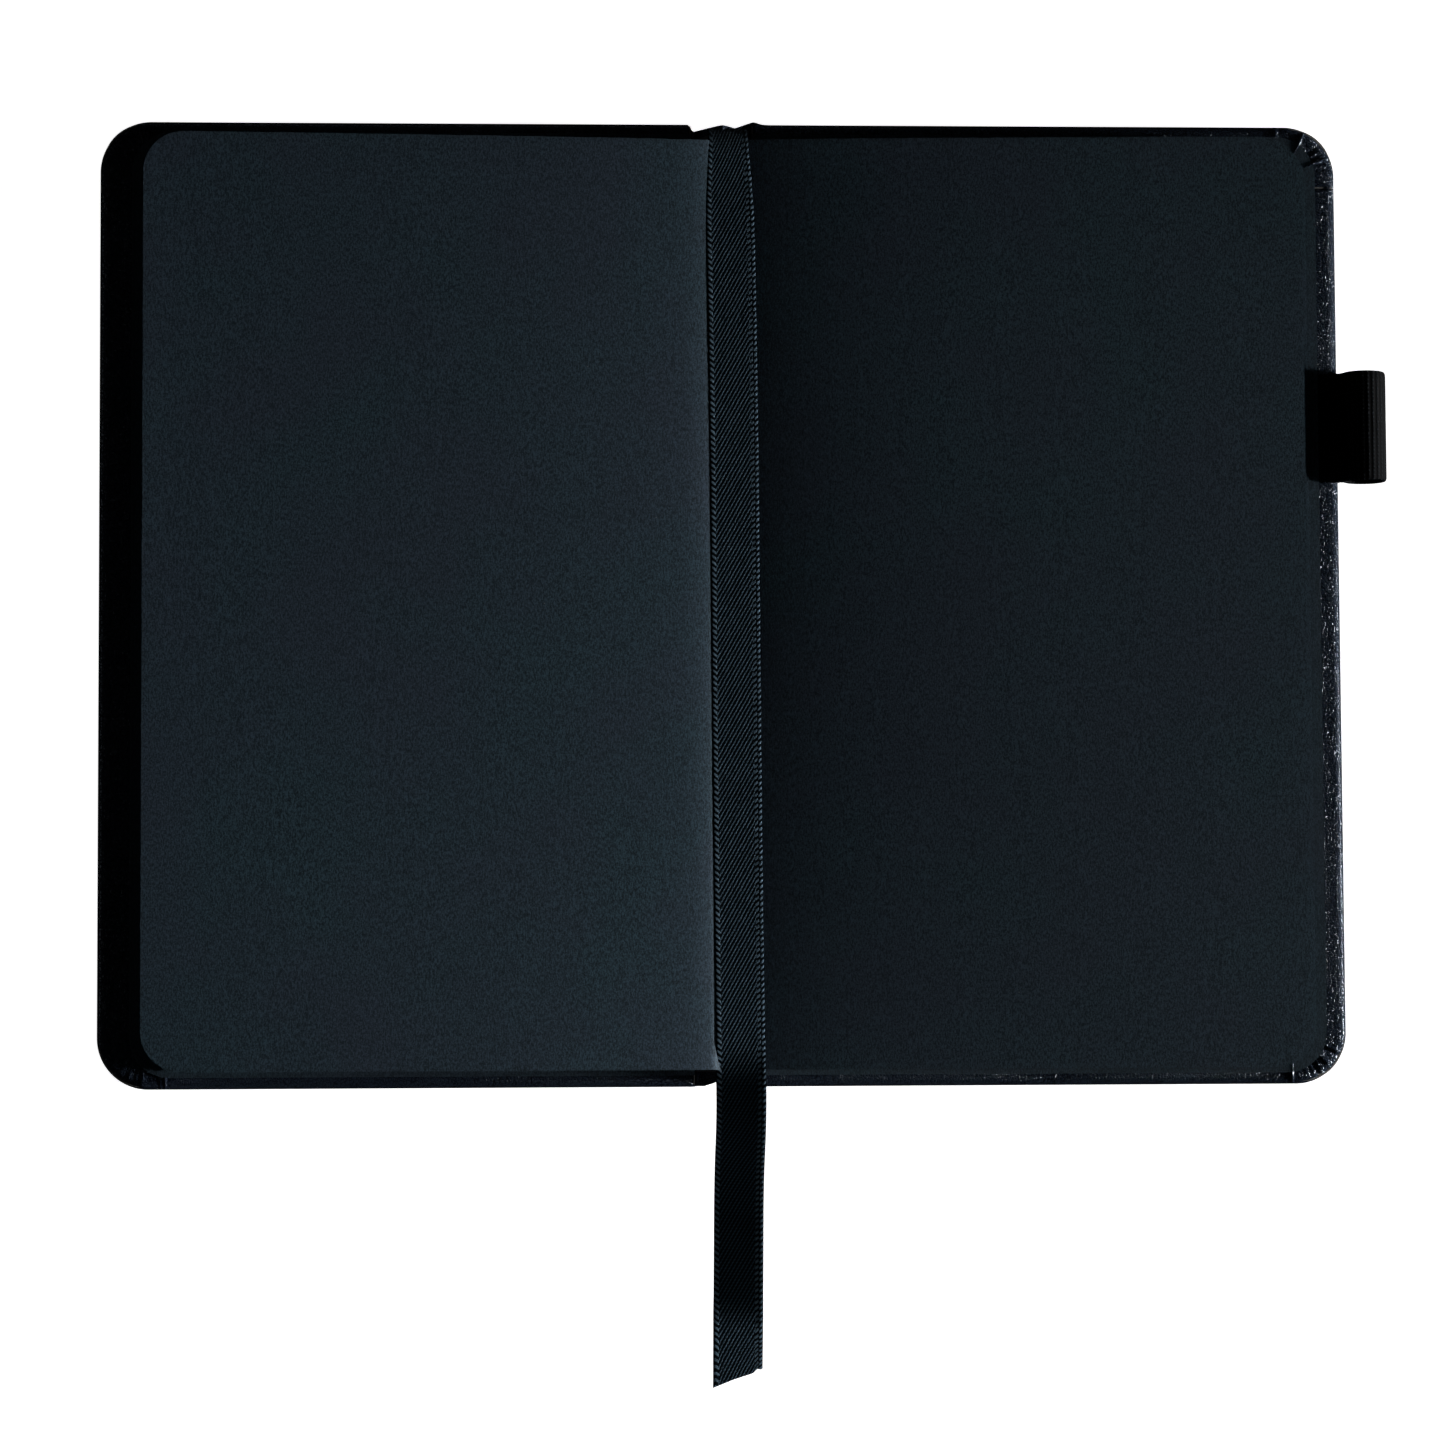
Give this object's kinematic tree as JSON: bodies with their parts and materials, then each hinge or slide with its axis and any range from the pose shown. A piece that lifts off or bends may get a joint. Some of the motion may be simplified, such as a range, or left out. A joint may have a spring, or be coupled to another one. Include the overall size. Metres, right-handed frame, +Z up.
{
  "type": "sketchbook",
  "caption": "Pocket hard-cover black-paper sketchbook lying open, with sewn signatures, a ribbon bookmark and an elastic pen loop on the back cover.",
  "frame": {"origin": "on the table, under the middle of the open book's footprint, pen loop included and ribbon left out; the gutter is 3.5 mm towards -X from it", "axes": "+X from the gutter to the back cover's fore-edge, +Y to the head of the pages, +Z up"},
  "size_m": [0.1922, 0.1874, 0.0086],
  "materials": {
    "cover_leather": "satin",
    "board": "matte",
    "end_paper": "matte",
    "page_paper": "matte",
    "lining_cloth": "matte",
    "thread": "matte",
    "elastic": "matte",
    "ribbon_satin": "satin"
  },
  "bodies": {
    "front_cover": {"front_cover_skin": "cover_leather", "front_board": "board", "front_pastedown": "end_paper", "front_spine_lining": "lining_cloth", "front_flyleaf": "end_paper", "signature_1": "page_paper", "signature_2": "page_paper", "signature_3": "page_paper", "signature_4_front": "page_paper", "front_sewing_thread": "thread"},
    "back_cover": {"back_cover_skin": "cover_leather", "back_board": "board", "back_pastedown": "end_paper", "back_spine_lining": "lining_cloth", "back_flyleaf": "end_paper", "signature_6": "page_paper", "signature_5": "page_paper", "signature_4_back": "page_paper", "back_sewing_thread": "thread", "pen_loop_tab": "elastic"},
    "left_leaf": {"left_leaf": "page_paper"},
    "right_leaf": {"right_leaf": "page_paper", "ribbon": "ribbon_satin"},
    "pen_loop": {"pen_loop": "elastic"}
  },
  "joints": [
    {"name": "cover_close", "type": "hinge", "parent": "back_cover", "child": "front_cover", "pos_m": [-0.00347, 0, 0.00805], "axis": [0, 1, 0], "range_deg": [0, 180]},
    {"name": "left_leaf_turn", "type": "hinge", "parent": "front_cover", "child": "left_leaf", "pos_m": [-0.00347, 0, 0.00805], "axis": [0, -1, 0], "range_deg": [-178, 0]},
    {"name": "right_leaf_turn", "type": "hinge", "parent": "back_cover", "child": "right_leaf", "pos_m": [-0.00347, 0, 0.00805], "axis": [0, 1, 0], "range_deg": [-178, 0]},
    {"name": "pen_loop_lift", "type": "hinge", "parent": "back_cover", "child": "pen_loop", "pos_m": [0.08947, 0.0261, 0.00241], "axis": [0, -1, 0], "range_deg": [0, 45]}
  ]
}
